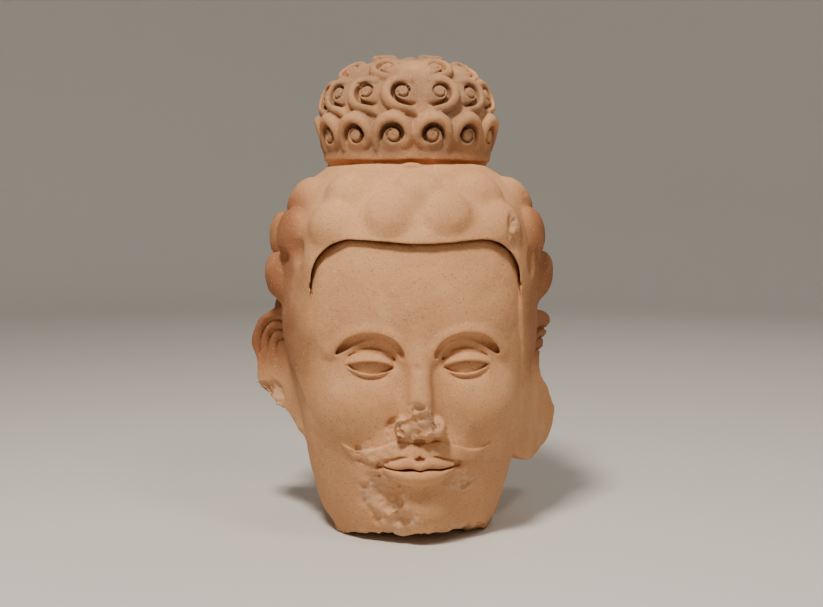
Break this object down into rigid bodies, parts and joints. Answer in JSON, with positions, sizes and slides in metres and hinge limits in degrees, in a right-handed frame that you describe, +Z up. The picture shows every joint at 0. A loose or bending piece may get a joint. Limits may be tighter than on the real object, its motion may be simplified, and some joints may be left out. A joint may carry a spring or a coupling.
{
  "type": "carved stone head",
  "caption": "Carved sandstone head with a curled topknot, rounded locks of hair, long ears, a moustache and a calm face, broken at the neck and standing on the break.",
  "frame": {"origin": "middle of the bounding box at the underside of the neck break", "axes": "+Z up, towards the topknot; -Y the way the face looks; +X to the viewer's right, the head's own left"},
  "size_m": [0.4106, 0.3848, 0.5994],
  "materials": {
    "stone": "matt weathered sandstone, buff pink"
  },
  "bodies": {
    "root": {"stone_head": "stone"}
  },
  "joints": []
}
